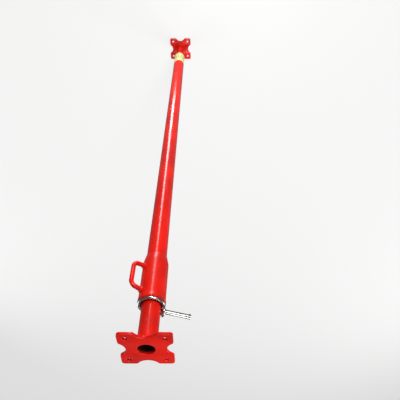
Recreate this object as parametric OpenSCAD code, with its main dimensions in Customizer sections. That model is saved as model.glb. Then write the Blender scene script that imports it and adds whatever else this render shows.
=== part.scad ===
/* [Heights] */
// Closed height, from the underside of the base plate to the top of the top plate
closed_h = 1750; // [1400:10:2200]
// Bare length of inner tube between the nut and the top plate when closed
hand_gap = 100; // [80:5:160]

/* [End plates] */
// Width of the square outline of each end plate
plate_w = 108; // [100:1:140]
// Thickness of each end plate
plate_t = 6; // [4:0.5:10]
// Radius of the rounded corners of the plates
corner_r = 7; // [4:1:12]
// Radius of the scallop in the middle of each side
scallop_r = 24; // [20:1:30]
// Depth of the scallop
scallop_depth = 13.5; // [8:0.5:16]
// Diameter of the hole in the middle of each plate
drain_d = 36; // [30:1:36]
// Distance between the small holes, centre to centre
hole_pitch_plate = 76; // [68:1:80]
// Diameter of the small holes
small_hole_d = 10; // [6:0.5:12]
// Leg of the fillet weld behind each plate
weld_leg = 5; // [3:0.5:7]

/* [Tubes] */
// Outer diameter of the outer tube
outer_d = 48.3; // [46:0.1:52]
// Wall of the outer tube
outer_wall = 2.6; // [2:0.1:2.7]
// Radial gap between the inner tube and the outer tube's bore
tube_gap = 0.55; // [0.4:0.05:1.5]
// Wall of the inner tube
inner_wall = 2.6; // [2:0.1:3]
// Distance between the pin holes along the inner tube
hole_pitch = 80; // [60:5:100]
// Number of pin holes
hole_count = 16; // [4:1:17]
// Diameter of the pin holes
pin_hole_d = 12; // [11:0.5:14]
// Length of the flared lower end of the inner tube
flare_h = 25; // [15:1:40]
// Length of the crimped upper end of the outer tube
crimp_h = 8; // [5:1:10]

/* [Nut] */
// Length of the sleeve, neck included
sleeve_h = 130; // [120:1:150]
// Radial room for the thread between the outer tube and the sleeve
thread_room = 3; // [2.4:0.1:4]
// Wall of the sleeve
sleeve_wall = 3; // [2:0.1:3]
// Length of the conical neck
neck_h = 20; // [15:1:26]
// Wall of the neck at its lower edge
neck_wall = 1.8; // [1.2:0.1:2.4]
// Length of the bell at the mouth
bell_h = 12; // [8:1:16]
// Step outward of the bell
bell_step = 1; // [0.5:0.1:1.5]
// Distance from the mouth down to the end of the outer tube
mouth_depth = 12; // [9:1:16]
// Length of the internal thread
thread_h = 26; // [20:1:32]

/* [Handle] */
// Diameter of the handle's bar
bar_d = 10.5; // [8:0.5:12]
// How far the handle's bar centre stands from the sleeve's side
handle_reach = 25.5; // [22:0.5:36]
// Distance from the mouth down to where the handle's upper end is welded
handle_top = 26; // [20:1:32]
// Distance along the sleeve between the handle's welded ends
handle_span = 68; // [60:1:80]
// How far the upper leg runs down before the grip starts
handle_slope = 4; // [1:0.5:12]
// How far the lower leg runs up before the grip starts
handle_rise = 1; // [0.5:0.5:12]
// Bend radius of the handle, at the bar's centre
bend_r = 13; // [11:1:16]
// Bearing of the handle around the prop, from -X towards +Y
handle_bearing = 35; // [0:5:60]
// Width of the weld bead round each end of the handle
bead = 2.6; // [1.5:0.1:4]

/* [Pin and ring] */
// Diameter of the locking pin
pin_d = 10; // [8:0.5:10.5]
// Length of the locking pin
pin_len = 66; // [64:1:84]
// Diameter of the pin's upset head
pin_head_d = 12.4; // [11:0.2:14]
// Length of the pin's upset head
pin_head_h = 4; // [2:0.5:6]
// Bearing of the pin around the prop, from +X towards +Y
pin_bearing = -20; // [-60:5:0]
// Diameter of the ring's wire
wire_d = 7; // [6:0.5:8]
// Gap between the ring and the inner tube
ring_gap = 2.5; // [2:0.1:3]
// Sweep of the ring around the tube
ring_sweep = 245; // [200:5:270]
// Sweep of the ring's eye around the pin
eye_sweep = 270; // [240:5:272]

/* [Fits] */
// Clearance of parts that slide, turn or rest on each other
play = 0.3; // [0.2:0.05:0.4]

/* [Hidden] */
$fn = 96;

// Chamfer of cut edges
edge = 1;
outer_r = outer_d / 2;
outer_bore_r = outer_r - outer_wall;
inner_r = outer_bore_r - tube_gap;
inner_bore_r = inner_r - inner_wall;
sleeve_bore_r = outer_r + thread_room;
sleeve_r = sleeve_bore_r + sleeve_wall;

// Heights of the main stations, measured from the underside of the base plate
top_plate_z = closed_h - plate_t;
mouth_z = top_plate_z - hand_gap;
neck_z = mouth_z - sleeve_h;
outer_top_z = mouth_z - mouth_depth;
inner_bottom_z = plate_t + play;

// The neck runs free on the tube, and the thread band stands between sleeve and tube
thread_bore_r = outer_r + play;
thread_r = sleeve_bore_r - play;
neck_bore_r = outer_r + play;
neck_r = neck_bore_r + neck_wall;

// The ring lies on the rim of the mouth, and the pin lies in the ring's eye
wire_r = wire_d / 2;
pin_r = pin_d / 2;
ring_r = inner_r + ring_gap + wire_r;
rim_r = sleeve_bore_r + bell_step + edge;
ring_z = mouth_z + sqrt(pow(wire_r + play, 2) - pow(rim_r - ring_r, 2));
eye_r = pin_r + play + wire_r;
pin_z = ring_z + eye_r;
pin_tip = inner_r + ring_gap;

// Handle: its bar lies in the plane of the prop's axis, turned by handle_bearing
handle_x = sleeve_r + handle_reach;
// Its ends start inside the sleeve's wall and are cut to the sleeve's side
handle_root_x = sleeve_r - sleeve_wall / 2;
handle_top_z = mouth_z - handle_top;
handle_low_z = handle_top_z - handle_span;

// Swelling of the balls that join a straight to a bend
seam = 0.1;
// How far a cutting tool runs past the face that it cuts
past = 1;
// Height and outward step of the rolled lip under the neck's cone
lip_h = 3;
lip_step = 0.4;
// Height of the shoulder inside the neck, under the thread
shoulder_h = 4;
// Length of the taper above the inner tube's flared end
flare_taper = 5;
// Chamfer of the pin's entering end
pin_lead = 1.5;
// Bulge of a fillet weld's face, and of a bead, as shares of its leg
weld_bulge = 0.62;
bead_bulge = 0.7;

RED = "#D81E1B";
ZINC = "#C9CCD0";

module bent_bar(points, radius, bar) {
    // Round bar through a list of points in the XY plane, with each corner bent to one radius.
    // A ball where a straight meets a bend makes the two one solid; its poles lie along the bar.
    last = len(points) - 1;
    function unit(v) = v / norm(v);
    function turn(i) =
        let (a = unit(points[i] - points[i - 1]), b = unit(points[i + 1] - points[i]))
        atan2(a.x * b.y - a.y * b.x, a * b);
    function cut(i) = i == 0 || i == last ? 0 : radius * tan(abs(turn(i)) / 2);
    for (i = [0 : last - 1]) {
        way = points[i + 1] - points[i];
        translate(points[i] + unit(way) * cut(i))
            rotate([0, 90, atan2(way.y, way.x)])
                cylinder(h = norm(way) - cut(i) - cut(i + 1), d = bar, $fn = 32);
    }
    for (i = [1 : last - 1]) {
        into = unit(points[i] - points[i - 1]);
        away = unit(points[i + 1] - points[i]);
        side = turn(i) > 0 ? 1 : -1;
        entry = points[i] - into * cut(i);
        centre = entry + side * radius * [-into.y, into.x];
        first = atan2(entry.y - centre.y, entry.x - centre.x);
        translate(centre)
            rotate(min(first, first + turn(i)))
                rotate_extrude(angle = abs(turn(i)))
                    translate([radius, 0]) circle(d = bar, $fn = 32);
        for (end = [[entry, into], [points[i] + away * cut(i), away]])
            translate(end[0]) rotate([0, 90, atan2(end[1].y, end[1].x)])
                sphere(d = bar + seam, $fn = 32);
    }
}

module plate_outline() {
    // Square with a scallop in each side; every arc runs tangent into the next
    half = plate_w / 2;
    scallop_y = half + scallop_r - scallop_depth;
    ear_y = half - corner_r;
    ear_x = sqrt(pow(scallop_r + corner_r, 2) - pow(scallop_y - ear_y, 2));
    lean = atan2(ear_x, scallop_y - ear_y);
    function arc(centre, r, from, to, steps) =
        [for (i = [0 : steps]) let (a = from + (to - from) * i / steps) centre + r * [cos(a), sin(a)]];
    function spun(p, a) = [p.x * cos(a) - p.y * sin(a), p.y * cos(a) + p.x * sin(a)];
    side = concat(
        arc([ear_y, ear_y], corner_r, 0, 90, 6),
        arc([ear_x, ear_y], corner_r, 90, 90 + lean, 5),
        arc([0, scallop_y], scallop_r, -90 + lean, -90 - lean, 16),
        arc([-ear_x, ear_y], corner_r, 90 - lean, 90, 5));
    polygon([for (a = [0, 90, 180, 270], p = side) spun(p, a)]);
}

module end_plate() {
    difference() {
        linear_extrude(plate_t) plate_outline();
        translate([0, 0, -past]) cylinder(h = plate_t + 2 * past, d = drain_d);
        for (x = [-1, 1], y = [-1, 1])
            translate([x * hole_pitch_plate / 2, y * hole_pitch_plate / 2, -past])
                cylinder(h = plate_t + 2 * past, d = small_hole_d, $fn = 48);
    }
}

module fillet_weld(radius) {
    rotate_extrude() polygon([
        [radius, 0], [radius + weld_leg, 0], [radius + weld_leg * weld_bulge, weld_leg * weld_bulge],
        [radius, weld_leg]]);
}

module base_plate() {
    color(RED) end_plate();
}

module base_weld() {
    color(RED) translate([0, 0, plate_t]) fillet_weld(outer_r);
}

module outer_tube() {
    color(RED) translate([0, 0, plate_t]) {
        h = outer_top_z - plate_t;
        crimp_r = inner_r + play;
        rotate_extrude() polygon([
            [outer_bore_r, 0], [outer_r, 0], [outer_r, h - edge], [outer_r - edge, h],
            [crimp_r, h], [crimp_r, h - crimp_h / 2], [outer_bore_r, h - crimp_h]]);
    }
}

module nut_thread() {
    color(ZINC) translate([0, 0, neck_z + neck_h + play]) difference() {
        cylinder(h = thread_h, r = thread_r);
        translate([0, 0, -past]) cylinder(h = thread_h + 2 * past, r = thread_bore_r);
    }
}

module nut_sleeve() {
    h = sleeve_h;
    bell_r = sleeve_r + bell_step;
    bell_bore_r = sleeve_bore_r + bell_step;
    color(RED) translate([0, 0, neck_z]) rotate_extrude() polygon([
        [neck_bore_r, 0], [neck_r, 0], [neck_r + lip_step, lip_h], [sleeve_r, neck_h],
        [sleeve_r, h - bell_h], [bell_r, h - bell_h / 2],
        [bell_r, h - edge], [bell_r - edge, h],
        [bell_bore_r + edge, h], [bell_bore_r, h - edge],
        [bell_bore_r, h - bell_h / 2], [sleeve_bore_r, h - bell_h],
        [sleeve_bore_r, neck_h], [neck_bore_r, neck_h - shoulder_h]]);
}

module nut_handle() {
    path = [[handle_root_x, handle_top_z], [handle_x, handle_top_z - handle_slope],
            [handle_x, handle_low_z + handle_rise], [handle_root_x, handle_low_z]];
    color(RED) difference() {
        rotate([90, 0, 180 - handle_bearing]) bent_bar(path, bend_r, bar_d);
        translate([0, 0, neck_z]) cylinder(h = sleeve_h, r = sleeve_r);
    }
}

module handle_bead(z, rise) {
    // Bead round the bar where a leg that rises this much meets the sleeve
    bar_r = bar_d / 2;
    color(RED) rotate(-handle_bearing) difference() {
        translate([-handle_root_x, 0, z]) rotate([0, atan2(handle_root_x - handle_x, rise), 0])
            rotate_extrude(convexity = 2, $fn = 48) polygon([
                [bar_r, 0], [bar_r + bead, 0], [bar_r + bead, sleeve_wall],
                [bar_r + bead / 2, sleeve_wall + bead * bead_bulge], [bar_r, sleeve_wall + bead]]);
        translate([0, 0, neck_z]) cylinder(h = sleeve_h, r = sleeve_r);
    }
}

module inner_tube() {
    h = top_plate_z - inner_bottom_z;
    flare_r = outer_bore_r - play;
    color(RED) difference() {
        translate([0, 0, inner_bottom_z]) rotate_extrude() polygon([
            [inner_bore_r, 0], [flare_r, 0], [flare_r, flare_h - flare_taper], [inner_r, flare_h],
            [inner_r, h], [inner_bore_r, h]]);
        for (i = [0 : hole_count - 1])
            translate([0, 0, pin_z - i * hole_pitch]) rotate([90, 0, 90 + pin_bearing])
                cylinder(h = outer_d, d = pin_hole_d, center = true, $fn = 48);
    }
}

module top_plate() {
    color(RED) translate([0, 0, top_plate_z]) end_plate();
}

module top_weld() {
    color(RED) translate([0, 0, top_plate_z]) mirror([0, 0, 1]) fillet_weld(inner_r);
}

module pin_ring() {
    // Open ring around the tube; from its end the wire turns up into an eye around the pin
    color(ZINC) rotate(pin_bearing) translate([0, 0, ring_z]) {
        rotate_extrude(angle = ring_sweep) translate([ring_r, 0]) circle(wire_r, $fn = 32);
        translate([ring_r, 0, 0]) {
            rotate([90, 0, 0]) sphere(d = wire_d + seam, $fn = 32);
            translate([0, 0, eye_r]) rotate([90, 0, 90]) rotate(-90 - eye_sweep)
                rotate_extrude(angle = eye_sweep) translate([eye_r, 0]) circle(wire_r, $fn = 32);
        }
    }
}

module lock_pin() {
    head_r = pin_head_d / 2;
    color(ZINC) rotate(pin_bearing) translate([pin_tip, 0, pin_z]) rotate([0, 90, 0])
        rotate_extrude() polygon([
            [0, 0], [pin_r - pin_lead, 0], [pin_r, pin_lead], [pin_r, pin_len - pin_head_h - edge],
            [head_r, pin_len - pin_head_h], [head_r, pin_len - edge], [head_r - edge, pin_len],
            [0, pin_len]]);
}

base_plate();
base_weld();
outer_tube();
nut_thread();
nut_sleeve();
nut_handle();
handle_bead(handle_top_z, -handle_slope);  // upper_handle_weld
handle_bead(handle_low_z, handle_rise);  // lower_handle_weld
inner_tube();
top_plate();
top_weld();
pin_ring();
lock_pin();
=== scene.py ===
"""Looks of an adjustable steel shoring prop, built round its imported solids.

The prop stands along +Z on its base plate. The nut's handle is 35 degrees from -X towards
+Y, and the closed side of the retaining ring faces +Y. Every length is in metres unless its
name ends in _mm.
"""

import enum
import logging
import math
from dataclasses import dataclass
from typing import Any, Sequence

import bmesh
import bpy
from mathutils import Matrix, Vector


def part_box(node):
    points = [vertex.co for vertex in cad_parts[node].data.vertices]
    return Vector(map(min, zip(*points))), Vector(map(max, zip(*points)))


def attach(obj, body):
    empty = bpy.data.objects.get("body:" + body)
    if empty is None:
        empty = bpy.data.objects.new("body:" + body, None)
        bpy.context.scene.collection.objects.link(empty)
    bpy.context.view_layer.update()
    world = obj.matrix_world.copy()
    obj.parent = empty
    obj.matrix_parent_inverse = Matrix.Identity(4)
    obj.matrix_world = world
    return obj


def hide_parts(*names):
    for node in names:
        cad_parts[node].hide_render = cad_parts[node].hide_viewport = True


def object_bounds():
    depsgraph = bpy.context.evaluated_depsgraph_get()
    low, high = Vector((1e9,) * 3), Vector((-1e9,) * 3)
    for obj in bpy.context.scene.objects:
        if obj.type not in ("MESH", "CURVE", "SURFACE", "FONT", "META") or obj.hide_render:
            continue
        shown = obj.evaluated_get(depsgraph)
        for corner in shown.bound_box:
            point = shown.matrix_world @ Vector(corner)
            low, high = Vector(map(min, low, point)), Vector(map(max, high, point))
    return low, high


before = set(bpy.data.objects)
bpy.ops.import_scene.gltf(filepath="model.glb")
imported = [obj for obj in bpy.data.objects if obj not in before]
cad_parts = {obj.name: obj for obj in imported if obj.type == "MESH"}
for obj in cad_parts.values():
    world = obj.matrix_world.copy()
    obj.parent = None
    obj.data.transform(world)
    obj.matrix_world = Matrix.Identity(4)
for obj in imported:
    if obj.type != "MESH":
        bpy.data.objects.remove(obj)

Material = bpy.types.Material
Mesh = bpy.types.Mesh
Node = bpy.types.Node
Object = bpy.types.Object
Socket = bpy.types.NodeSocket
Sockets = bpy.types.bpy_prop_collection
Tree = bpy.types.NodeTree
Face = tuple[int, ...]
Pair = tuple[float, float]
Point = tuple[float, float, float]
Colour = tuple[float, float, float, float]

CAD_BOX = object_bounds()
LOG = logging.getLogger("prop")
MM = 0.001
# Radii just beyond the bores of the outer and the inner tube, inside which they are unpainted
OUTER_BARE = 0.0220
INNER_BARE = 0.0188
# Edges that fold by more than this stay crisp, and a fold that no edge has
CRISP_DEG = 35.0
SMOOTH_DEG = 180.0
# Segments and rings of a weld ripple, and subdivisions of a bead of spatter
RIPPLE_SEGMENTS = 10
RIPPLE_RINGS = 6
BEAD_SUBDIVISIONS = 2
# Points of a mesh that are nearer than this are one point
MERGE_MM = 0.005
# Largest share of a profile's side that the rounding of a corner takes
ROUNDED_SHARE = 0.45


class Body(enum.Enum):
    """The rigid bodies that new pieces ride on."""

    OUTER = "outer"
    NUT = "nut"
    INNER = "inner"


class Side(enum.Enum):
    """The face of an end plate that a tube is welded to."""

    UPPER = 1
    LOWER = -1


class Given(enum.Enum):
    """The kinds of value that a geometry tree is given."""

    NUMBER = "NodeSocketFloat"
    SEED = "NodeSocketInt"
    FINISH = "NodeSocketMaterial"


def linear(code: str) -> Colour:
    """Turns an sRGB hex value into linear RGBA.

    Args:
        code: The colour as "#RRGGBB".

    Returns:
        Four linear channels, with alpha 1.
    """
    channels = [int(code[i : i + 2], 16) / 255 for i in (1, 3, 5)]
    return (*(c / 12.92 if c <= 0.04045 else ((c + 0.055) / 1.055) ** 2.4 for c in channels), 1.0)


def plug(tree: Tree, node: Node, sockets: dict[str | int, Any]) -> None:
    """Sets or links a node's inputs.

    Args:
        tree: The node's tree.
        node: The node.
        sockets: For each input, a value to set, an output socket to link, or a node whose
            first live output is linked.
    """
    for key, value in sockets.items():
        if isinstance(value, Node):
            value = next(output for output in value.outputs if output.enabled)
        if isinstance(value, Socket):
            tree.links.new(value, node.inputs[key])
        else:
            node.inputs[key].default_value = value


def add(
    tree: Tree, kind: str, sockets: dict[str | int, Any] | None = None, **settings: Any
) -> Node:
    """Adds a node, sets it up and links it.

    Args:
        tree: The tree that gets the node.
        kind: The node's type name.
        sockets: The inputs, as plug takes them.
        **settings: The node's own properties, set first.

    Returns:
        The new node.
    """
    node = tree.nodes.new(kind)
    for name, value in settings.items():
        setattr(node, name, value)
    plug(tree, node, sockets or {})
    return node


def per_metre(size_mm: float) -> float:
    """Returns the scale of a pattern whose features are about this many millimetres."""
    return 1 / (size_mm * MM)


def blotches(
    tree: Tree, place: Node | Socket, scale: float, reach: Pair, detail: float
) -> Node:
    """Adds cloudy blotches with soft edges.

    Args:
        tree: The material's tree.
        place: The coordinates that they lie on.
        scale: Their number in each unit of the coordinates.
        reach: The two values of the noise between which they fade in.
        detail: How many times finer clouds are laid over them.

    Returns:
        The node with their strength.
    """
    noise = add(tree, "ShaderNodeTexNoise", {"Vector": place, "Scale": scale, "Detail": detail})
    fade = {"Value": noise, "From Min": reach[0], "From Max": reach[1]}
    return add(tree, "ShaderNodeMapRange", fade)


def new_material(name: str) -> tuple[Material, Tree, Node]:
    """Makes an empty material with a surface shader.

    Args:
        name: The material's name.

    Returns:
        The material, its tree, and its Principled shader already joined to the output.
    """
    material = bpy.data.materials.new(name)
    material.use_nodes = True
    tree = material.node_tree
    tree.nodes.clear()
    shader = add(tree, "ShaderNodeBsdfPrincipled")
    add(tree, "ShaderNodeOutputMaterial", {"Surface": shader})
    return material, tree, shader


@dataclass(frozen=True)
class GlossEnamel:
    """Alkyd gloss enamel, dipped on drawn or cut steel.

    It flows out nearly smooth, so the eye gets a deep even red with sharp highlights, a
    little orange peel, faint lines along drawn tube, and small dull rubs from handling.
    """

    name: str
    tone: str = "#E41706"
    deep: str = "#C60F04"
    rub: str = "#D83A2C"
    chip: str = "#4A3B36"
    scale_dark: str = "#2B211D"
    scale_rust: str = "#5A3527"
    # Strength of the rubs, and the roughness of the paint outside them and where they are full
    rubs: float = 0.35
    rough: float = 0.23
    rubbed_rough: float = 0.75
    scale_rough: float = 0.62
    specular: float = 0.28
    coat: float = 0.08
    coat_rough: float = 0.09
    cloud_mm: float = 70.0
    patch_mm: float = 40.0
    stroke_mm: float = 1.1
    stroke_length_mm: float = 8.0
    speck_mm: float = 2.4
    peel_mm: float = 2.6
    peel_depth_mm: float = 0.012
    # Real draw lines lie about 0.2 mm apart: these are coarser, so that they show
    draw_mm: float = 1.6
    draw_length_mm: float = 250.0
    draw_depth_mm: float = 0.012
    scale_mm: float = 16.0
    # Values of the noise between which each pattern fades in
    cloud_reach: Pair = (0.35, 0.62)
    patch_reach: Pair = (0.54, 0.68)
    stroke_reach: Pair = (0.50, 0.66)
    speck_reach: Pair = (0.72, 0.75)
    scale_reach: Pair = (0.35, 0.65)
    # Radius inside which a tube is unpainted, or 0 on a piece without a bore
    bare_radius: float = 0.0
    drawn: bool = False
    # Bearing of a tube's lengthwise weld, and the radians from it over which its bead fades
    seam_deg: float = -130.0
    seam_reach: Pair = (0.02, 0.07)
    seam_depth_mm: float = 0.10

    def build(self) -> Material:
        """Builds the material on Object coordinates.

        Returns:
            The material.
        """
        material, tree, shader = new_material(self.name)
        place = add(tree, "ShaderNodeTexCoord").outputs["Object"]
        clouds = blotches(tree, place, per_metre(self.cloud_mm), self.cloud_reach, detail=3.0)
        rub, chip = self._wear(tree, place)
        clear = {"Factor": clouds, 6: linear(self.deep), 7: linear(self.tone)}
        dulled = {
            "Factor": rub,
            6: add(tree, "ShaderNodeMix", clear, data_type="RGBA"),
            7: linear(self.rub),
        }
        chipped = {
            "Factor": chip,
            6: add(tree, "ShaderNodeMix", dulled, data_type="RGBA"),
            7: linear(self.chip),
        }
        colour = add(tree, "ShaderNodeMix", chipped, data_type="RGBA")
        dullness = {"Value": rub, "To Min": self.rough, "To Max": self.rubbed_rough}
        rough = add(tree, "ShaderNodeMapRange", dullness)
        if self.bare_radius:
            colour, rough = self._unpainted_bore(tree, place, colour, rough)
        surface = {
            "Base Color": colour,
            "Roughness": rough,
            "Normal": self._relief(tree, place),
            "Specular IOR Level": self.specular,
            "Coat Weight": self.coat,
            "Coat Roughness": self.coat_rough,
        }
        plug(tree, shader, surface)
        return material

    def _wear(self, tree: Tree, place: Socket) -> tuple[Node, Node]:
        """Adds dull rubs, and chips under 2 mm among them, down to dark steel.

        Args:
            tree: The material's tree.
            place: Object coordinates.

        Returns:
            The node with the strength of the rubs, and the one with that of the chips.
        """
        patch = blotches(tree, place, per_metre(self.patch_mm), self.patch_reach, detail=2.0)
        # In each patch, fine strokes along the prop show
        across, along = per_metre(self.stroke_mm), per_metre(self.stroke_length_mm)
        stretched = add(
            tree, "ShaderNodeMapping", {"Vector": place, "Scale": (across, across, along)}
        )
        stroke = blotches(tree, stretched, 1.0, self.stroke_reach, detail=2.0)
        speck = blotches(tree, place, per_metre(self.speck_mm), self.speck_reach, detail=1.0)
        worn = add(tree, "ShaderNodeMath", {0: patch, 1: stroke}, operation="MULTIPLY")
        rub = add(tree, "ShaderNodeMath", {0: worn, 1: self.rubs}, operation="MULTIPLY")
        chip = add(tree, "ShaderNodeMath", {0: speck, 1: patch}, operation="MULTIPLY")
        return rub, chip

    def _unpainted_bore(
        self, tree: Tree, place: Socket, colour: Node, rough: Node
    ) -> tuple[Node, Node]:
        """Turns the wall inside a tube to brown mill scale.

        Args:
            tree: The material's tree.
            place: Object coordinates.
            colour: The paint's colour.
            rough: The paint's roughness.

        Returns:
            The colour and the roughness, each with the bore mixed in.
        """
        flat = add(
            tree, "ShaderNodeVectorMath", {0: place, 1: (1.0, 1.0, 0.0)}, operation="MULTIPLY"
        )
        radius = add(tree, "ShaderNodeVectorMath", {0: flat}, operation="LENGTH")
        inside = add(
            tree, "ShaderNodeMath", {0: radius, 1: self.bare_radius}, operation="LESS_THAN"
        )
        rust = blotches(tree, place, per_metre(self.scale_mm), self.scale_reach, detail=5.0)
        rusted = {"Factor": rust, 6: linear(self.scale_dark), 7: linear(self.scale_rust)}
        scale = add(tree, "ShaderNodeMix", rusted, data_type="RGBA")
        mixed = add(
            tree, "ShaderNodeMix", {"Factor": inside, 6: colour, 7: scale}, data_type="RGBA"
        )
        dull = add(tree, "ShaderNodeMix", {"Factor": inside, 2: rough, 3: self.scale_rough})
        return mixed, dull

    def _relief(self, tree: Tree, place: Socket) -> Node:
        """Adds orange peel, and a drawn tube's weld line and draw lines over it.

        Args:
            tree: The material's tree.
            place: Object coordinates.

        Returns:
            The node with the normal.
        """
        fineness = per_metre(self.peel_mm)
        peel = add(
            tree, "ShaderNodeTexNoise", {"Vector": place, "Scale": fineness, "Detail": 2.0}
        )
        depth = self.peel_depth_mm * MM
        normal = add(
            tree, "ShaderNodeBump", {"Height": peel, "Strength": 1.0, "Distance": depth}
        )
        if not self.drawn:
            return normal
        heights = (
            (self._seam(tree, place), self.seam_depth_mm),
            (self._draw_lines(tree, place), self.draw_depth_mm),
        )
        for height, depth_mm in heights:
            relief = {
                "Height": height,
                "Strength": 1.0,
                "Distance": depth_mm * MM,
                "Normal": normal,
            }
            normal = add(tree, "ShaderNodeBump", relief)
        return normal

    def _seam(self, tree: Tree, place: Socket) -> Node:
        """Adds the tube's own lengthwise weld, rolled flat to a line about 2 mm wide.

        Args:
            tree: The material's tree.
            place: Object coordinates.

        Returns:
            The node with its height.
        """
        turned = add(
            tree,
            "ShaderNodeVectorRotate",
            {"Vector": place, "Angle": math.radians(-self.seam_deg)},
            rotation_type="Z_AXIS",
        )
        axes = add(tree, "ShaderNodeSeparateXYZ", {0: turned}).outputs
        bearing = add(tree, "ShaderNodeMath", {0: axes["Y"], 1: axes["X"]}, operation="ARCTAN2")
        away = add(tree, "ShaderNodeMath", {0: bearing}, operation="ABSOLUTE")
        near, far = self.seam_reach
        fade = {"Value": away, "From Min": near, "From Max": far, "To Min": 1.0, "To Max": 0.0}
        return add(tree, "ShaderNodeMapRange", fade, interpolation_type="SMOOTHSTEP")

    def _draw_lines(self, tree: Tree, place: Socket) -> Node:
        """Adds the faint lines that drawing leaves along a tube.

        Args:
            tree: The material's tree.
            place: Object coordinates.

        Returns:
            The node with their height.
        """
        across, along = per_metre(self.draw_mm), per_metre(self.draw_length_mm)
        stretched = add(
            tree, "ShaderNodeMapping", {"Vector": place, "Scale": (across, across, along)}
        )
        lines = {"Vector": stretched, "Scale": 1.0, "Detail": 1.0}
        return add(tree, "ShaderNodeTexNoise", lines)


@dataclass(frozen=True)
class BrightZinc:
    """Bright zinc, electroplated on drawn wire and bar.

    The eye gets a clean silver with soft mirror streaks along the wire, cooler and warmer
    patches left by the passivation, and a fine grain of scratches.
    """

    name: str = "Bright electroplated zinc on drawn wire"
    cool: str = "#A4ABB5"
    warm: str = "#BEBBB0"
    patch_mm: float = 11.0
    patch_reach: Pair = (0.4, 0.6)
    # Real scratches are finer than 0.1 mm: these are coarser, so that they show
    grain_mm: float = 0.8
    grain_depth_mm: float = 0.01
    rough: Pair = (0.14, 0.34)

    def build(self) -> Material:
        """Builds the material on Object coordinates.

        Returns:
            The material.
        """
        material, tree, shader = new_material(self.name)
        place = add(tree, "ShaderNodeTexCoord").outputs["Object"]
        patches = blotches(tree, place, per_metre(self.patch_mm), self.patch_reach, detail=3.0)
        tints = {"Factor": patches, 6: linear(self.cool), 7: linear(self.warm)}
        fineness = per_metre(self.grain_mm)
        grain = add(
            tree, "ShaderNodeTexNoise", {"Vector": place, "Scale": fineness, "Detail": 4.0}
        )
        dullness = {"Value": grain, "To Min": self.rough[0], "To Max": self.rough[1]}
        relief = {"Height": grain, "Strength": 1.0, "Distance": self.grain_depth_mm * MM}
        surface = {
            "Base Color": add(tree, "ShaderNodeMix", tints, data_type="RGBA"),
            "Roughness": add(tree, "ShaderNodeMapRange", dullness),
            "Normal": add(tree, "ShaderNodeBump", relief),
            "Metallic": 1.0,
        }
        plug(tree, shader, surface)
        return material


@dataclass(frozen=True)
class OiledSteel:
    """Bare rolled steel under a film of thread oil.

    The eye gets a dark grey metal, brighter and smoother in some patches, and duller and
    brown with old oil in others.
    """

    name: str = "Oiled rolled steel"
    bright: str = "#8E8A85"
    dark: str = "#4B423C"
    film_mm: float = 9.0
    film_reach: Pair = (0.35, 0.65)
    film_depth_mm: float = 0.018
    rough: Pair = (0.45, 0.25)

    def build(self) -> Material:
        """Builds the material on Object coordinates.

        Returns:
            The material.
        """
        material, tree, shader = new_material(self.name)
        place = add(tree, "ShaderNodeTexCoord").outputs["Object"]
        fineness = per_metre(self.film_mm)
        film = add(
            tree, "ShaderNodeTexNoise", {"Vector": place, "Scale": fineness, "Detail": 5.0}
        )
        dull, clean = self.film_reach
        tint = add(
            tree, "ShaderNodeMapRange", {"Value": film, "From Min": dull, "From Max": clean}
        )
        tints = {"Factor": tint, 6: linear(self.dark), 7: linear(self.bright)}
        dullness = {"Value": film, "To Min": self.rough[0], "To Max": self.rough[1]}
        relief = {"Height": film, "Strength": 1.0, "Distance": self.film_depth_mm * MM}
        surface = {
            "Base Color": add(tree, "ShaderNodeMix", tints, data_type="RGBA"),
            "Roughness": add(tree, "ShaderNodeMapRange", dullness),
            "Normal": add(tree, "ShaderNodeBump", relief),
            "Metallic": 1.0,
        }
        plug(tree, shader, surface)
        return material


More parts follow.
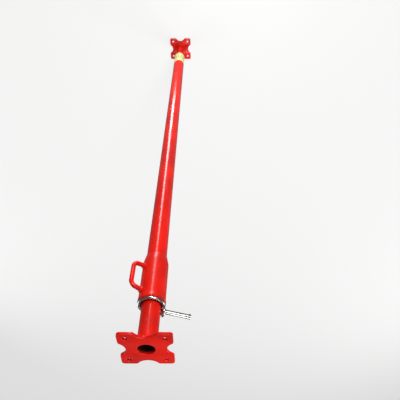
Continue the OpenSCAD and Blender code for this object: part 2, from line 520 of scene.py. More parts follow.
@dataclass(frozen=True)
class PrintedFilm:
    """Cream vinyl film with a plain printed motif, calendered and glued on.

    The eye gets a smooth satin cream band with two thin green borders and a row of plain
    green bars, a little uneven where the print is thin.
    """

    name: str = "Printed cream vinyl film"
    ground: str = "#DDD490"
    print_colour: str = "#7DB36A"
    rough: float = 0.42
    # Length of the film round the tube, which is the width of its UV map
    length_mm: float = 156.0
    ink_mm: float = 2.6
    thin_ink: float = 0.75
    # Number of bars, and the share of its pitch that each fills
    bar_count: int = 12
    bar_share: float = 0.45
    # Distances from the film's mid-height, as shares of its height
    bar_reach: float = 0.17
    border_at: float = 0.40
    border_half: float = 0.018

    def build(self) -> Material:
        """Builds the material on the piece's own UV map, with V along the tube.

        Returns:
            The material.
        """
        material, tree, shader = new_material(self.name)
        place = add(tree, "ShaderNodeTexCoord").outputs["UV"]
        axes = add(tree, "ShaderNodeSeparateXYZ", {0: place}).outputs
        off_centre = add(tree, "ShaderNodeMath", {0: axes["Y"], 1: 0.5}, operation="SUBTRACT")
        distance = add(tree, "ShaderNodeMath", {0: off_centre}, operation="ABSOLUTE")
        border = add(
            tree,
            "ShaderNodeMath",
            {0: distance, 1: self.border_at, 2: self.border_half},
            operation="COMPARE",
        )
        turns = add(
            tree, "ShaderNodeMath", {0: axes["X"], 1: self.bar_count}, operation="MULTIPLY"
        )
        step = add(tree, "ShaderNodeMath", {0: turns}, operation="FRACT")
        bar = add(tree, "ShaderNodeMath", {0: step, 1: self.bar_share}, operation="LESS_THAN")
        band = add(tree, "ShaderNodeMath", {0: distance, 1: self.bar_reach}, operation="LESS_THAN")
        bars = add(tree, "ShaderNodeMath", {0: bar, 1: band}, operation="MULTIPLY")
        printed = add(tree, "ShaderNodeMath", {0: border, 1: bars}, operation="MAXIMUM")
        ink = add(
            tree,
            "ShaderNodeTexNoise",
            {"Vector": place, "Scale": self.length_mm / self.ink_mm, "Detail": 3.0},
        )
        strength = add(
            tree, "ShaderNodeMapRange", {"Value": ink, "To Min": self.thin_ink, "To Max": 1.0}
        )
        shown = add(tree, "ShaderNodeMath", {0: printed, 1: strength}, operation="MULTIPLY")
        inks = {"Factor": shown, 6: linear(self.ground), 7: linear(self.print_colour)}
        colour = add(tree, "ShaderNodeMix", inks, data_type="RGBA")
        plug(tree, shader, {"Base Color": colour, "Roughness": self.rough})
        return material


def make_piece(
    name: str,
    vertices: Sequence[Sequence[float]],
    faces: Sequence[Sequence[int]],
    material: Material,
    crisp_deg: float = CRISP_DEG,
) -> Object:
    """Makes a smooth-shaded mesh object at the origin.

    Args:
        name: The piece's name.
        vertices: Points in the prop's frame, in metres.
        faces: Vertex indices of each face, turning left round its outward normal.
        material: The material that covers it.
        crisp_deg: Edges that fold by more than this stay crisp.

    Returns:
        The object, linked to the scene.
    """
    mesh = bpy.data.meshes.new(name)
    mesh.from_pydata([tuple(v) for v in vertices], [], [tuple(f) for f in faces])
    mesh.update()
    mesh.materials.append(material)
    return link_mesh(name, mesh, crisp_deg)


def link_mesh(name: str, mesh: Mesh, crisp_deg: float = CRISP_DEG) -> Object:
    """Shades a mesh smooth and links it as an object at the origin.

    Args:
        name: The object's name.
        mesh: The mesh, already in the prop's frame.
        crisp_deg: Edges that fold by more than this stay crisp.

    Returns:
        The object.
    """
    if mesh.polygons:
        mesh.shade_smooth()
        mesh.set_sharp_from_angle(angle=math.radians(crisp_deg))
    shown = bpy.data.objects.new(name, mesh)
    bpy.context.scene.collection.objects.link(shown)
    return shown


def settle(source: Object, name: str, crisp_deg: float = CRISP_DEG) -> Object:
    """Turns an object with live modifiers, or a curve, into a plain mesh.

    Args:
        source: The object, which is removed.
        name: The name of the plain piece.
        crisp_deg: Edges that fold by more than this stay crisp.

    Returns:
        The plain piece.
    """
    bpy.context.view_layer.update()
    graph = bpy.context.evaluated_depsgraph_get()
    mesh = bpy.data.meshes.new_from_object(source.evaluated_get(graph), depsgraph=graph)
    mesh.name = name
    source.modifiers.clear()
    bpy.data.objects.remove(source)
    return link_mesh(name, mesh, crisp_deg)


def seat(
    piece: Object, body: Body, replaced: Sequence[str] = ()
) -> Object:
    """Makes a finished piece ride on its body and reports it.

    Args:
        piece: The finished piece.
        body: The body that carries it.
        replaced: CAD nodes that it stands for.

    Returns:
        The piece.
    """
    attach(piece, body.value)
    if replaced:
        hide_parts(*replaced)
    LOG.info("%s: %d faces on %s", piece.name, len(piece.data.polygons), body.value)
    return piece


def dress(material: Material, *nodes: str) -> None:
    """Gives CAD nodes a finish.

    Args:
        material: The finish.
        *nodes: The nodes' names.
    """
    for node in nodes:
        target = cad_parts[node]
        target.data.materials.clear()
        target.data.materials.append(material)
        LOG.info("%s: dressed in %s", node, material.name)


def arc(centre: Pair, radius: float, start: float, end: float, steps: int) -> list[Pair]:
    """Returns the points along an arc between two bearings in radians, both ends included."""
    turns = [start + (end - start) * i / steps for i in range(steps + 1)]
    return [(centre[0] + radius * math.cos(a), centre[1] + radius * math.sin(a)) for a in turns]


def circle(centre: Pair, radius: float, steps: int) -> list[Pair]:
    """Returns points round a circle, each of them once."""
    return arc(centre, radius, 0.0, math.tau, steps)[:-1]


def ring_path(radius: float, height: float, steps: int = 96) -> list[Point]:
    """Returns points round the prop's axis."""
    return [(x, y, height) for x, y in circle((0.0, 0.0), radius, steps)]


def rounded(corners: Sequence[Point], steps: int) -> list[Pair]:
    """Rounds the corners of a closed profile.

    Args:
        corners: Radius, height and rounding of each corner in order. The rounding is made
            smaller where a side is short.
        steps: Segments in each rounded corner.

    Returns:
        The rounded profile.
    """
    points: list[Pair] = []
    count = len(corners)
    for index in range(count):
        here = Vector(corners[index][:2])
        back = Vector(corners[index - 1][:2]) - here
        ahead = Vector(corners[(index + 1) % count][:2]) - here
        room = min(back.length, ahead.length) * ROUNDED_SHARE
        reach = min(corners[index][2], room)
        start, end = here + back.normalized() * reach, here + ahead.normalized() * reach
        for step in range(steps + 1):
            t = step / steps
            point = start * (1 - t) ** 2 + here * 2 * t * (1 - t) + end * t**2
            points.append((point.x, point.y))
    return points


def lathe(profile: Sequence[Pair], segments: int) -> tuple[list[Point], list[Face]]:
    """Turns a closed profile of radius and height round the prop's axis.

    Args:
        profile: Radius and height of each point, in metres, with the solid on the left.
        segments: Steps round the axis.

    Returns:
        The vertices and the faces.
    """
    rows = len(profile)
    vertices = [
        point for radius, height in profile for point in ring_path(radius, height, segments)
    ]
    faces = [
        (
            i * segments + j,
            i * segments + (j + 1) % segments,
            (i + 1) % rows * segments + (j + 1) % segments,
            (i + 1) % rows * segments + j,
        )
        for i in range(rows)
        for j in range(segments)
    ]
    return vertices, faces


def close_mesh(mesh: Mesh) -> None:
    """Merges a mesh's doubles and turns its faces outwards.

    Args:
        mesh: The mesh, which is changed.
    """
    work = bmesh.new()
    work.from_mesh(mesh)
    bmesh.ops.remove_doubles(work, verts=work.verts, dist=MERGE_MM * MM)
    bmesh.ops.recalc_face_normals(work, faces=work.faces)
    work.to_mesh(mesh)
    work.free()
    mesh.update()


def new_nodes(name: str, inputs: dict[str, Given]) -> tuple[Tree, dict[str, Socket]]:
    """Makes a geometry tree with a geometry input and output and named inputs.

    Args:
        name: The tree's name.
        inputs: What each named input takes.

    Returns:
        The tree, and the sockets of its inputs by name.
    """
    tree = bpy.data.node_groups.new(name, "GeometryNodeTree")
    tree.interface.new_socket("Geometry", in_out="INPUT", socket_type="NodeSocketGeometry")
    for label, kind in inputs.items():
        tree.interface.new_socket(label, in_out="INPUT", socket_type=kind.value)
    tree.interface.new_socket("Geometry", in_out="OUTPUT", socket_type="NodeSocketGeometry")
    return tree, {socket.name: socket for socket in add(tree, "NodeGroupInput").outputs}


def end_nodes(tree: Tree, shape: Node, finish: Socket) -> None:
    """Ends a geometry tree: makes its instances real, paints them and hands them out.

    Args:
        tree: The tree.
        shape: The node with the instances.
        finish: The input with the material.
    """
    real = add(tree, "GeometryNodeRealizeInstances", {"Geometry": shape})
    painted = add(tree, "GeometryNodeSetMaterial", {"Geometry": real, "Material": finish})
    add(tree, "NodeGroupOutput", {"Geometry": painted})


def run_nodes(source: Object, tree: Tree, values: dict[str, Any]) -> None:
    """Puts a geometry tree on an object with its inputs set.

    Args:
        source: The object that gets the modifier.
        tree: The geometry tree.
        values: A value for each named input.
    """
    modifier = source.modifiers.new(tree.name, "NODES")
    modifier.node_group = tree
    for item in tree.interface.items_tree:
        if item.item_type == "SOCKET" and item.in_out == "INPUT" and item.name in values:
            modifier[item.identifier] = values[item.name]


@dataclass
class EndPlate:
    """Star end plate, cut from 6 mm plate, with its edges rounded by the cut and the paint."""

    node: str
    body: Body
    finish: Material
    width: float = 0.108
    corner: float = 0.007
    scallop: float = 0.024
    scallop_depth: float = 0.0135
    socket: float = 0.018
    nail_hole: float = 0.005
    nail_pitch: float = 0.076
    edge: float = 0.0009
    # Segments of each corner, of the bend from it into a scallop, and of a scallop
    corner_steps: int = 10
    bend_steps: int = 8
    scallop_steps: int = 24
    socket_steps: int = 72
    nail_steps: int = 32
    edge_steps: int = 3
    crisp_deg: float = 40.0

    def outline(self) -> list[Pair]:
        """Draws the star: a scallop in each side, tangent to the rounded corners.

        Returns:
            The points of the outline.
        """
        half = self.width / 2
        centre_y, ear_y = half + self.scallop - self.scallop_depth, half - self.corner
        ear_x = math.sqrt((self.scallop + self.corner) ** 2 - (centre_y - ear_y) ** 2)
        lean = math.atan2(ear_x, centre_y - ear_y)
        quarter = math.pi / 2
        corner = arc((ear_y, ear_y), self.corner, 0, quarter, self.corner_steps)
        leaving = arc((ear_x, ear_y), self.corner, quarter, quarter + lean, self.bend_steps)
        hollow = arc(
            (0, centre_y), self.scallop, lean - quarter, -quarter - lean, self.scallop_steps
        )
        coming = arc((-ear_x, ear_y), self.corner, quarter - lean, quarter, self.bend_steps)
        side = corner + leaving[1:] + hollow[1:] + coming[1:-1]
        turns = [(math.cos(k * quarter), math.sin(k * quarter)) for k in range(4)]
        return [(x * cos - y * sin, y * cos + x * sin) for cos, sin in turns for x, y in side]

    def build(self) -> Object:
        """Builds the plate in the place of its CAD node.

        Returns:
            The piece.
        """
        low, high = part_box(self.node)
        curve = bpy.data.curves.new(self.node, "CURVE")
        curve.dimensions, curve.fill_mode = "2D", "BOTH"
        curve.extrude = (high.z - low.z) / 2 - self.edge
        curve.bevel_depth, curve.bevel_resolution = self.edge, self.edge_steps
        curve.offset = -self.edge
        offset = self.nail_pitch / 2
        loops = [self.outline(), circle((0, 0), self.socket, self.socket_steps)]
        loops += [
            circle((x, y), self.nail_hole, self.nail_steps)
            for x in (-offset, offset)
            for y in (-offset, offset)
        ]
        for loop in loops:
            spline = curve.splines.new("POLY")
            spline.points.add(len(loop) - 1)
            for point, (x, y) in zip(spline.points, loop):
                point.co = (x, y, 0.0, 1.0)
            spline.use_cyclic_u = True
        source = bpy.data.objects.new(self.node, curve)
        bpy.context.scene.collection.objects.link(source)
        plate = settle(source, f"{self.node}_cut_edges", self.crisp_deg)
        plate.data.transform(Matrix.Translation((0, 0, (low.z + high.z) / 2)))
        close_mesh(plate.data)
        plate.data.materials.clear()
        plate.data.materials.append(self.finish)
        return seat(plate, self.body, [self.node])


@dataclass
class OuterTube:
    """Outer tube, with a round thread rolled into its upper end and its mouth crimped in."""

    paint: Material
    steel: Material
    wall: float = 0.0026
    crimp: float = 0.008
    mouth_radius: float = 0.0213
    # Rounded edge of the mouth, and how far its middle point lies in, as a share of it
    lip: float = 0.001
    lip_middle: float = 0.3
    thread_start: float = 1.5165
    pitch: float = 0.008
    depth: float = 0.0009
    run_out: float = 0.006
    # Distances from the middle of the root, in pitches, where its floor and its flank end
    floor_end: float = 0.05
    flank_end: float = 0.34
    # Points this far inside the crests still belong to the outer wall
    skin_mm: float = 0.05
    plain_rows: int = 12
    step: float = 0.0005
    segments: int = 96

    def build(self) -> Object:
        """Builds the tube in the place of its CAD node.

        Returns:
            The piece.
        """
        low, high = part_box("outer_tube")
        profile = self._profile(high.x, low.z, high.z)
        tube = make_piece("outer_tube_threaded", *lathe(profile, self.segments), self.paint)
        values = {
            "Pitch": self.pitch,
            "Depth": self.depth,
            "Start": self.thread_start,
            "End": high.z - self.lip,
            "Run out": self.run_out,
            "Crest radius": high.x,
            "Plain": self.paint,
            "Threaded": self.steel,
        }
        run_nodes(tube, self._thread_tree(), values)
        return seat(settle(tube, tube.name), Body.OUTER, ["outer_tube"])

    def _profile(self, outer: float, foot: float, mouth: float) -> list[Pair]:
        """Draws the tube's wall, with close rows where the thread is rolled.

        Args:
            outer: The tube's outer radius.
            foot: The height of its lower end.
            mouth: The height of its upper end.

        Returns:
            The closed profile of radius and height.
        """
        plain = self.thread_start - foot
        rows = [(outer, foot + plain * i / self.plain_rows) for i in range(self.plain_rows + 1)]
        count = int((mouth - self.lip - self.thread_start) / self.step)
        rows += [(outer, self.thread_start + self.step * i) for i in range(1, count)]
        middle = self.lip_middle * self.lip
        return rows + [
            (outer, mouth - self.lip),
            (outer - middle, mouth - middle),
            (outer - self.lip, mouth),
            (self.mouth_radius, mouth),
            (self.mouth_radius, mouth - self.crimp / 2),
            (outer - self.wall, mouth - self.crimp),
            (outer - self.wall, foot),
        ]

    def _thread_tree(self) -> Tree:
        """Builds the tree that rolls a right-hand round thread into the outer wall.

        Returns:
            The tree. Its inputs are lengths in metres and the materials of the plain part and
            of the threaded part.
        """
        lengths = ("Pitch", "Depth", "Start", "End", "Run out", "Crest radius")
        finishes = ("Plain", "Threaded")
        tree, given = new_nodes(
            "rolled thread",
            dict.fromkeys(lengths, Given.NUMBER) | dict.fromkeys(finishes, Given.FINISH),
        )
        position = add(tree, "GeometryNodeInputPosition")
        axes = add(tree, "ShaderNodeSeparateXYZ", {0: position}).outputs
        groove = self._groove(tree, given, axes)
        faded = self._fade_ends(tree, given, axes["Z"], groove)
        flat = add(
            tree, "ShaderNodeVectorMath", {0: position, 1: (1.0, 1.0, 0.0)}, operation="MULTIPLY"
        )
        radius = add(tree, "ShaderNodeVectorMath", {0: flat}, operation="LENGTH")
        skin = add(
            tree,
            "ShaderNodeMath",
            {0: given["Crest radius"], 1: self.skin_mm * MM},
            operation="SUBTRACT",
        )
        outside = add(tree, "ShaderNodeMath", {0: radius, 1: skin}, operation="GREATER_THAN")
        rolled = add(tree, "ShaderNodeMath", {0: faded, 1: outside}, operation="MULTIPLY")
        inward = add(tree, "ShaderNodeMath", {0: given["Depth"], 1: -1.0}, operation="MULTIPLY")
        travel = add(tree, "ShaderNodeMath", {0: rolled, 1: inward}, operation="MULTIPLY")
        radial = add(tree, "ShaderNodeVectorMath", {0: flat}, operation="NORMALIZE")
        offset = add(
            tree, "ShaderNodeVectorMath", {0: radial, "Scale": travel}, operation="SCALE"
        )
        moved = add(
            tree, "GeometryNodeSetPosition", {"Geometry": given["Geometry"], "Offset": offset}
        )
        real = add(tree, "GeometryNodeRealizeInstances", {"Geometry": moved})
        plain = add(
            tree, "GeometryNodeSetMaterial", {"Geometry": real, "Material": given["Plain"]}
        )
        above = add(
            tree, "ShaderNodeMath", {0: axes["Z"], 1: given["Start"]}, operation="GREATER_THAN"
        )
        bare = {"Geometry": plain, "Selection": above, "Material": given["Threaded"]}
        threaded = add(tree, "GeometryNodeSetMaterial", bare)
        add(tree, "NodeGroupOutput", {"Geometry": threaded})
        return tree

    def _groove(self, tree: Tree, given: dict[str, Socket], axes: Sockets) -> Node:
        """Adds the endless groove of a right-hand thread.

        Args:
            tree: The thread's tree.
            given: The tree's inputs.
            axes: The position's coordinates.

        Returns:
            The node with the groove's share of the full depth.
        """
        bearing = add(tree, "ShaderNodeMath", {0: axes["Y"], 1: axes["X"]}, operation="ARCTAN2")
        turn = add(tree, "ShaderNodeMath", {0: bearing, 1: math.tau}, operation="DIVIDE")
        climb = add(
            tree, "ShaderNodeMath", {0: axes["Z"], 1: given["Pitch"]}, operation="DIVIDE"
        )
        wound = add(tree, "ShaderNodeMath", {0: climb, 1: turn}, operation="SUBTRACT")
        phase = add(tree, "ShaderNodeMath", {0: wound}, operation="FRACT")
        from_middle = add(tree, "ShaderNodeMath", {0: phase, 1: 0.5}, operation="SUBTRACT")
        from_root = add(tree, "ShaderNodeMath", {0: from_middle}, operation="ABSOLUTE")
        flank = {
            "Value": from_root,
            "From Min": self.floor_end,
            "From Max": self.flank_end,
            "To Min": 1.0,
            "To Max": 0.0,
        }
        return add(tree, "ShaderNodeMapRange", flank, interpolation_type="SMOOTHERSTEP")

    @staticmethod
    def _fade_ends(tree: Tree, given: dict[str, Socket], height: Socket, groove: Node) -> Node:
        """Lets the groove run out at both ends of the thread.

        Args:
            tree: The thread's tree.
            given: The tree's inputs.
            height: The position's height.
            groove: The node with the endless groove.

        Returns:
            The node with the groove's share of the full depth, faded.
        """
        run_in = add(
            tree, "ShaderNodeMath", {0: given["Start"], 1: given["Run out"]}, operation="ADD"
        )
        run_out = add(
            tree, "ShaderNodeMath", {0: given["End"], 1: given["Run out"]}, operation="SUBTRACT"
        )
        rising = {"Value": height, "From Min": given["Start"], "From Max": run_in}
        falling = {
            "Value": height,
            "From Min": run_out,
            "From Max": given["End"],
            "To Min": 1.0,
            "To Max": 0.0,
        }
        for fade in (rising, falling):
            share = add(tree, "ShaderNodeMapRange", fade, interpolation_type="SMOOTHSTEP")
            groove = add(tree, "ShaderNodeMath", {0: groove, 1: share}, operation="MULTIPLY")
        return groove


@dataclass
class NutSleeve:
    """Pressed sleeve of the covered nut, with a cone under it and a belled mouth."""

    finish: Material
    wall: float = 0.003
    neck: float = 0.020
    bell: float = 0.012
    bell_step: float = 0.001
    # Gap round the outer tube, and width of the cone's flat foot, which flares over its height
    play: float = 0.0003
    foot: float = 0.0018
    foot_flare: float = 0.0004
    foot_height: float = 0.003
    # How far under the neck the cone meets the narrow bore
    bore_drop: float = 0.004
    chamfer: float = 0.001
    # Roundings of cut edges, of pressed edges and of the bend over the cone
    crisp: float = 0.0004
    soft: float = 0.0015
    bend: float = 0.0040
    corner_steps: int = 5
    segments: int = 128

    def build(self) -> Object:
        """Builds the sleeve in the place of its CAD node.

        Returns:
            The piece.
        """
        low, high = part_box("nut_sleeve")
        bell_r = high.x
        sleeve_r = bell_r - self.bell_step
        bore_r = sleeve_r - self.wall
        mouth_r = bore_r + self.bell_step
        narrow_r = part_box("outer_tube")[1].x + self.play
        foot_r = narrow_r + self.foot
        neck, bell = low.z + self.neck, high.z - self.bell
        corners = [
            (narrow_r, low.z, self.crisp),
            (foot_r, low.z, self.crisp),
            (foot_r + self.foot_flare, low.z + self.foot_height, self.soft),
            (sleeve_r, neck, self.bend),
            (sleeve_r, bell, self.soft),
            (bell_r, high.z - self.bell / 2, self.soft),
            (bell_r, high.z - self.chamfer, self.crisp),
            (bell_r - self.chamfer, high.z, self.crisp),
            (mouth_r + self.chamfer, high.z, self.crisp),
            (mouth_r, high.z - self.chamfer, self.crisp),
            (mouth_r, high.z - self.bell / 2, self.soft),
            (bore_r, bell, self.soft),
            (bore_r, neck, self.bend),
            (narrow_r, neck - self.bore_drop, self.crisp),
        ]
        profile = rounded(corners, self.corner_steps)
        sleeve = make_piece("nut_sleeve_pressed", *lathe(profile, self.segments), self.finish)
        return seat(sleeve, Body.NUT, ["nut_sleeve"])


@dataclass
class LabelBand:
    """Film label glued round the lower end of the outer tube, with its ends lapped."""

    finish: Material
    low: float = 0.135
    high: float = 0.240
    lift: float = 0.00006
    film: float = 0.00016
    # Bearing of the first end, and the turn from it to the end that laps over it
    start_deg: float = -96.0
    sweep_deg: float = 372.0
    # How far the last end rises over the first, and the share of the length that rises
    lap_rise: float = 0.0002
    lap_share: float = 0.06
    segments: int = 144
    rows: int = 10
    crisp_deg: float = 60.0

    def build(self) -> Object:
        """Builds the film as a thin closed sheet with V along the tube.

        Returns:
            The piece.
        """
        label = make_piece(
            "label_band", self._vertices(), self._faces(), self.finish, self.crisp_deg
        )
        wide = self.rows + 1
        uv = label.data.uv_layers.new(name="along_tube")
        for loop in label.data.loops:
            column, row = divmod(loop.vertex_index % (wide * (self.segments + 1)), wide)
            uv.data[loop.index].uv = (column / self.segments, row / self.rows)
        return seat(label, Body.OUTER)

    def _vertices(self) -> list[Point]:
        """Places the points of the outer skin, and then those of the glued skin.

        Returns:
            The points.
        """
        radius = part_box("outer_tube")[1].x + self.lift
        start, sweep = math.radians(self.start_deg), math.radians(self.sweep_deg)
        vertices: list[Point] = []
        for skin in (self.film, 0.0):
            for j in range(self.segments + 1):
                share = j / self.segments
                angle = start + sweep * share
                lapped = max(0.0, share - (1 - self.lap_share)) / self.lap_share
                r = radius + skin + self.lap_rise * lapped
                for i in range(self.rows + 1):
                    z = self.low + (self.high - self.low) * i / self.rows
                    vertices.append((r * math.cos(angle), r * math.sin(angle), z))
        return vertices

    def _faces(self) -> list[Face]:
        """Joins the two skins and closes their edges.

        Returns:
            The faces.
        """
        wide = self.rows + 1
        back = wide * (self.segments + 1)
        faces: list[Face] = []
        for j in range(self.segments):
            for i in range(self.rows):
                a, b = j * wide + i, (j + 1) * wide + i
                faces.append((a, b, b + 1, a + 1))
                faces.append((back + a, back + a + 1, back + b + 1, back + b))
        for j in range(self.segments):
            a, b = j * wide, (j + 1) * wide
            faces.append((a, back + a, back + b, b))
            a, b = a + self.rows, b + self.rows
            faces.append((a, b, back + b, back + a))
        for i in range(self.rows):
            faces.append((i, i + 1, back + i + 1, back + i))
            a = self.segments * wide + i
            faces.append((a, back + a, back + a + 1, a + 1))
        return faces


def weld_run_tree() -> Tree:
    """Builds the tree that lays overlapping weld ripples along a path of edges.

    Returns:
        The tree. Its inputs are lengths in metres, a seed and the paint.
    """
    numbers = ("Pitch", "Half length", "Half width", "Lean", "Unevenness")
    tree, given = new_nodes(
        "weld run",
        dict.fromkeys(numbers, Given.NUMBER) | {"Seed": Given.SEED, "Finish": Given.FINISH},
    )
    path = add(tree, "GeometryNodeMeshToCurve", {"Mesh": given["Geometry"]})
    points = add(
        tree,
        "GeometryNodeCurveToPoints",
        {"Curve": path, "Length": given["Pitch"]},
        mode="LENGTH",
    )
    along = add(
        tree,
        "FunctionNodeAlignRotationToVector",
        {"Vector": points.outputs["Tangent"]},
        axis="X",
    )
    ripple = add(
        tree,
        "GeometryNodeMeshUVSphere",
        {"Segments": RIPPLE_SEGMENTS, "Rings": RIPPLE_RINGS, "Radius": 1.0},
    )
    half_width = given["Half width"]
    size = add(
        tree, "ShaderNodeCombineXYZ", {0: given["Half length"], 1: half_width, 2: half_width}
    )
    least = add(
        tree, "ShaderNodeMath", {0: 1.0, 1: given["Unevenness"]}, operation="SUBTRACT"
    )
    most = add(tree, "ShaderNodeMath", {0: 1.0, 1: given["Unevenness"]}, operation="ADD")
    vary = add(
        tree,
        "FunctionNodeRandomValue",
        {2: least, 3: most, "Seed": given["Seed"]},
        data_type="FLOAT",
    )
    scaled = add(tree, "ShaderNodeVectorMath", {0: size, "Scale": vary}, operation="SCALE")
    placed = add(
        tree,
        "GeometryNodeInstanceOnPoints",
        {"Points": points, "Instance": ripple, "Rotation": along, "Scale": scaled},
    )
    lean = add(tree, "ShaderNodeCombineXYZ", {1: given["Lean"]})
    leaned = add(tree, "GeometryNodeRotateInstances", {"Instances": placed, "Rotation": lean})
    end_nodes(tree, leaned, given["Finish"])
    return tree


def spatter_tree() -> Tree:
    """Builds the tree that scatters painted-over weld spatter on a surface.

    Returns:
        The tree. Its inputs are a density, two lengths in metres, a seed and the paint.
    """
    tree, given = new_nodes(
        "weld spatter",
        dict.fromkeys(("Density", "Smallest", "Largest"), Given.NUMBER)
        | {"Seed": Given.SEED, "Finish": Given.FINISH},
    )
    points = add(
        tree,
        "GeometryNodeDistributePointsOnFaces",
        {"Mesh": given["Geometry"], "Density": given["Density"], "Seed": given["Seed"]},
        distribute_method="RANDOM",
    )
    bead = add(
        tree, "GeometryNodeMeshIcoSphere", {"Radius": 1.0, "Subdivisions": BEAD_SUBDIVISIONS}
    )
    size = add(
        tree,
        "FunctionNodeRandomValue",
        {2: given["Smallest"], 3: given["Largest"], "Seed": given["Seed"]},
        data_type="FLOAT",
    )
    placed = add(
        tree,
        "GeometryNodeInstanceOnPoints",
        {"Points": points, "Instance": bead, "Scale": size},
    )
    end_nodes(tree, placed, given["Finish"])
    return tree


@dataclass
class WeldRun:
    """Fillet weld laid in overlapping ripples along a path."""

    name: str
    body: Body
    finish: Material
    path: Sequence[Point]
    pitch: float = 0.0014
    half_length: float = 0.0024
    half_width: float = 0.0031
    lean: float = 0.5
    unevenness: float = 0.06
    seed: int = 3

    def build(self, tree: Tree) -> Object:
        """Builds the ripples.

        Args:
            tree: The weld run tree.

        Returns:
            The piece.
        """
        count = len(self.path)
        edges = [(i, (i + 1) % count) for i in range(count)]
        mesh = bpy.data.meshes.new(self.name)
        mesh.from_pydata(list(self.path), edges, [])
        source = link_mesh(self.name, mesh)
        values = {
            "Pitch": self.pitch,
            "Half length": self.half_length,
            "Half width": self.half_width,
            "Lean": self.lean,
            "Unevenness": self.unevenness,
            "Seed": self.seed,
            "Finish": self.finish,
        }
        run_nodes(source, tree, values)
        return seat(settle(source, self.name, SMOOTH_DEG), self.body)


@dataclass
class Spatter:
    """Beads of weld spatter round a tube's weld, stuck to a plate and painted over."""

    name: str
    body: Body
    finish: Material
    height: float
    inner: float = 0.031
    outer: float = 0.044
    density: float = 9000.0
    smallest: float = 0.00025
    largest: float = 0.0006
    seed: int = 5

    def build(self, tree: Tree) -> Object:
        """Builds the beads on a ring of the plate's face.

        Args:
            tree: The spatter tree.

        Returns:
            The piece.
        """
        inner, outer = ring_path(self.inner, self.height), ring_path(self.outer, self.height)
        count = len(inner)
        faces = [(i, count + i, count + (i + 1) % count, (i + 1) % count) for i in range(count)]
        source = make_piece(self.name, [*inner, *outer], faces, self.finish)
        values = {
            "Density": self.density,
            "Smallest": self.smallest,
            "Largest": self.largest,
            "Seed": self.seed,
            "Finish": self.finish,
        }
        run_nodes(source, tree, values)
        return seat(settle(source, self.name, SMOOTH_DEG), self.body)


@dataclass
class PlateWeld:
    """Weld between a tube and its end plate, with its ripples and the spatter round it."""

    weld: str
    plate: str
    body: Body
    finish: Material
    side: Side
    ripple_seed: int
    spatter_seed: int
    leg: float = 0.005
    # Distance of the ripples' middle line from the tube and from the plate
    stand_off: float = 0.0018

    def face_height(self) -> float:
        """Returns the height of the plate's face that the tube is welded to."""
        low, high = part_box(self.plate)
        return high.z if self.side is Side.UPPER else low.z

    def ripples(self) -> WeldRun:
        """Lays ripples round the tube.

        Returns:
            The run of ripples.
        """
        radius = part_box(self.weld)[1].x - self.leg + self.stand_off
        path = ring_path(radius, self.face_height() + self.side.value * self.stand_off)
        name = f"{self.weld}_ripples"
        return WeldRun(name, self.body, self.finish, path, seed=self.ripple_seed)

    def spatter(self) -> Spatter:
        """Returns the spatter on the plate."""
        name = f"{self.weld}_spatter"
        return Spatter(name, self.body, self.finish, self.face_height(), seed=self.spatter_seed)


@dataclass
class HandleWeld:
    """Weld round one leg of the nut's handle, where the leg meets the sleeve."""

    name: str
    finish: Material
    # How far the leg's root lies under the sleeve's mouth, and the leg's rise over its reach
    drop: float
    rise: float
    seed: int
    reach: float = 0.027
    # Turn of the handle around the prop, from -X towards +Y
    bearing_deg: float = 35.0
    # Depth of the leg's root in the sleeve's wall, and the ripples' distance from the middle
    # line of the leg
    root_depth: float = 0.0015
    bead_radius: float = 0.0062
    pitch: float = 0.0011
    half_length: float = 0.0015
    half_width: float = 0.0018
    unevenness: float = 0.12
    steps: int = 40

    def path(self) -> list[Point]:
        """Follows the line on the sleeve that keeps the bead radius from the leg's middle.

        Returns:
            The points of the line.
        """
        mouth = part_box("nut_sleeve")[1]
        radius = mouth.x - NutSleeve.bell_step
        bearing = math.radians(self.bearing_deg)
        outward = Vector((-math.cos(bearing), math.sin(bearing), 0.0))
        root = (radius - self.root_depth) * outward + Vector((0.0, 0.0, mouth.z - self.drop))
        leg = (self.reach * outward + Vector((0.0, 0.0, self.rise))).normalized()
        across = Vector((outward.y, -outward.x, 0.0))
        up = leg.cross(across)
        points: list[Point] = []
        for x, y in circle((0.0, 0.0), self.bead_radius, self.steps):
            start = root + x * across + y * up
            # Distance along the leg to the sleeve, from a quadratic equation
            a = leg.x**2 + leg.y**2
            b = 2 * (start.x * leg.x + start.y * leg.y)
            c = start.x**2 + start.y**2 - radius**2
            far = (-b + math.sqrt(max(0.0, b * b - 4 * a * c))) / (2 * a)
            points.append(tuple(start + leg * far))
        return points

    def ripples(self) -> WeldRun:
        """Lays ripples round the leg.

        Returns:
            The run of ripples.
        """
        return WeldRun(
            self.name,
            Body.NUT,
            self.finish,
            self.path(),
            pitch=self.pitch,
            half_length=self.half_length,
            half_width=self.half_width,
            unevenness=self.unevenness,
            seed=self.seed,
        )


@dataclass(frozen=True)
class Lamp:
    """Rectangular soft lamp that the camera doesn't see."""

    name: str
    place: Point
    target: Point
    width: float
    length: float
    watts: float

    def build(self) -> None:
        """Hangs the lamp and turns it to its target."""
        data = bpy.data.lights.new(self.name, "AREA")
        data.shape, data.size, data.size_y = "RECTANGLE", self.width, self.length
        data.energy = self.watts
        lamp = bpy.data.objects.new(self.name, data)
        lamp.location = self.place
        facing = Vector(self.target) - Vector(self.place)
        lamp.rotation_euler = facing.to_track_quat("-Z", "Y").to_euler()
        lamp.visible_camera = False
        bpy.context.scene.collection.objects.link(lamp)


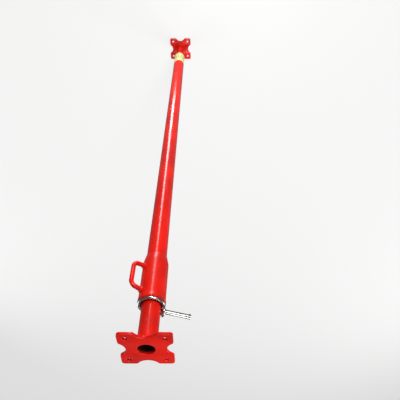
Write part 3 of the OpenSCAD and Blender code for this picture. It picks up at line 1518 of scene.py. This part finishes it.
@dataclass
class Studio:
    """Pale floor, soft lamps and the camera."""

    camera_place: Point = (0.105, 0.711, 2.152)
    camera_tilt_deg: float = -39.5
    lens_mm: float = 35.1
    sensor_mm: float = 36.0
    clip: Pair = (0.01, 100.0)
    floor_size: float = 60.0
    floor_rough: float = 0.9
    floor_specular: float = 0.1
    ground: str = "#8E8E8D"
    # Strength of the floor's own light to the camera, which fades its shadows
    glow: float = 0.66
    # Share of the white room that reflections add, and its light on everything else
    mirrored_white: float = 0.05
    even_light: float = 0.12
    white: Colour = (1.0, 1.0, 1.0, 1.0)
    lamps: tuple[Lamp, ...] = (
        Lamp("key softbox", (0.9, 2.3, 1.9), (0.0, 0.0, 1.1), 1.3, 1.0, 57.0),
        Lamp("low strip", (-0.06, 1.42, 0.01), (-0.06, 1.42, 1.0), 0.26, 2.2, 30.0),
        Lamp("base fill", (0.35, 0.55, 0.45), (0.0, 0.0, 0.0), 0.4, 0.4, 1.1),
        Lamp("overhead", (0.2, -0.3, 3.6), (0.0, 0.0, 1.6), 1.2, 1.2, 26.0),
        Lamp("fill", (-2.4, -1.6, 1.6), (0.0, 0.0, 0.9), 2.0, 2.0, 34.0),
        Lamp("back fill", (3.0, -2.3, 2.4), (0.0, 0.0, 0.9), 2.2, 2.2, 85.0),
    )

    def build(self) -> None:
        """Builds the floor, the lamps, the world and the camera."""
        self._floor()
        for lamp in self.lamps:
            lamp.build()
        self._world()
        self._camera()
        bpy.context.scene.view_settings.view_transform = "Standard"

    def _floor(self) -> None:
        """Builds the floor under the base plate."""
        material, tree, shader = new_material("Matt pale studio floor")
        path = add(tree, "ShaderNodeLightPath").outputs
        glow = add(
            tree, "ShaderNodeMath", {0: path["Is Camera Ray"], 1: self.glow}, operation="MULTIPLY"
        )
        surface = {
            "Base Color": linear(self.ground),
            "Roughness": self.floor_rough,
            "Specular IOR Level": self.floor_specular,
            "Emission Color": self.white,
            "Emission Strength": glow,
        }
        plug(tree, shader, surface)
        rim = ring_path(self.floor_size / 2, CAD_BOX[0].z)
        floor = make_piece("studio_floor", rim, [tuple(range(len(rim)))], material)

    def _world(self) -> None:
        """Lights the scene evenly and shows the camera and reflections a white room."""
        world = bpy.data.worlds.new("white room")
        world.use_nodes = True
        tree = world.node_tree
        tree.nodes.clear()
        path = add(tree, "ShaderNodeLightPath").outputs
        mirrored = add(
            tree,
            "ShaderNodeMath",
            {0: path["Is Glossy Ray"], 1: self.mirrored_white},
            operation="MULTIPLY",
        )
        seen = add(
            tree, "ShaderNodeMath", {0: path["Is Camera Ray"], 1: mirrored}, operation="MAXIMUM"
        )
        strength = add(
            tree, "ShaderNodeMapRange", {"Value": seen, "To Min": self.even_light, "To Max": 1.0}
        )
        light = add(tree, "ShaderNodeBackground", {"Color": self.white, "Strength": strength})
        add(tree, "ShaderNodeOutputWorld", {"Surface": light})
        bpy.context.scene.world = world

    def _camera(self) -> None:
        """Adds the camera, above the top plate and looking down the prop."""
        data = bpy.data.cameras.new("camera")
        data.lens, data.sensor_width = self.lens_mm, self.sensor_mm
        data.clip_start, data.clip_end = self.clip
        camera = bpy.data.objects.new("camera", data)
        camera.location = self.camera_place
        camera.rotation_euler = (math.radians(self.camera_tilt_deg), 0.0, 0.0)
        bpy.context.scene.collection.objects.link(camera)
        bpy.context.scene.camera = camera


@dataclass(frozen=True)
class Finishes:
    """The prop's finishes, each built once."""

    plate: Material
    tube: Material
    inner: Material
    nut: Material
    zinc: Material
    steel: Material
    film: Material

    @classmethod
    def build(cls) -> "Finishes":
        """Builds every finish.

        Returns:
            The finishes.
        """
        enamel = "Red gloss alkyd enamel on"
        plate = GlossEnamel(f"{enamel} cut plate", rubs=0.5)
        tube = GlossEnamel(f"{enamel} drawn tube", bare_radius=OUTER_BARE, drawn=True, rubs=0.1)
        inner = GlossEnamel(
            f"{enamel} the inner tube",
            bare_radius=INNER_BARE,
            drawn=True,
            rubs=0.6,
            rough=0.3,
            coat=0.04,
        )
        nut = GlossEnamel(f"{enamel} the nut", rubs=0.4, rough=0.3, coat=0.04)
        finishes = (plate, tube, inner, nut, BrightZinc(), OiledSteel(), PrintedFilm())
        return cls(*(finish.build() for finish in finishes))


def main() -> None:
    """Builds every sub-assembly in order."""
    logging.basicConfig(level=logging.INFO, format="%(name)s: %(message)s")
    finishes = Finishes.build()
    EndPlate("base_plate", Body.OUTER, finishes.plate).build()
    EndPlate("top_plate", Body.INNER, finishes.plate).build()
    OuterTube(finishes.tube, finishes.steel).build()
    NutSleeve(finishes.nut).build()
    LabelBand(finishes.film).build()
    dress(finishes.inner, "inner_tube")
    dress(finishes.plate, "base_weld", "top_weld")
    dress(finishes.nut, "nut_handle", "upper_handle_weld", "lower_handle_weld")
    dress(finishes.zinc, "pin_ring", "lock_pin")
    dress(finishes.steel, "nut_thread")

    paint, nut_paint = finishes.plate, finishes.nut
    base = PlateWeld(
        "base_weld", "base_plate", Body.OUTER, paint, Side.UPPER, ripple_seed=3, spatter_seed=5
    )
    top = PlateWeld(
        "top_weld", "top_plate", Body.INNER, paint, Side.LOWER, ripple_seed=8, spatter_seed=11
    )
    upper_leg = HandleWeld("upper_handle_ripples", nut_paint, drop=0.026, rise=-0.004, seed=4)
    lower_leg = HandleWeld("lower_handle_ripples", nut_paint, drop=0.094, rise=0.001, seed=6)
    runs, spatter = weld_run_tree(), spatter_tree()
    for weld in (base, top):
        weld.ripples().build(runs)
    for weld in (base, top):
        weld.spatter().build(spatter)
    for weld in (upper_leg, lower_leg):
        weld.ripples().build(runs)

    Studio().build()


if __name__ == "__main__":
    main()
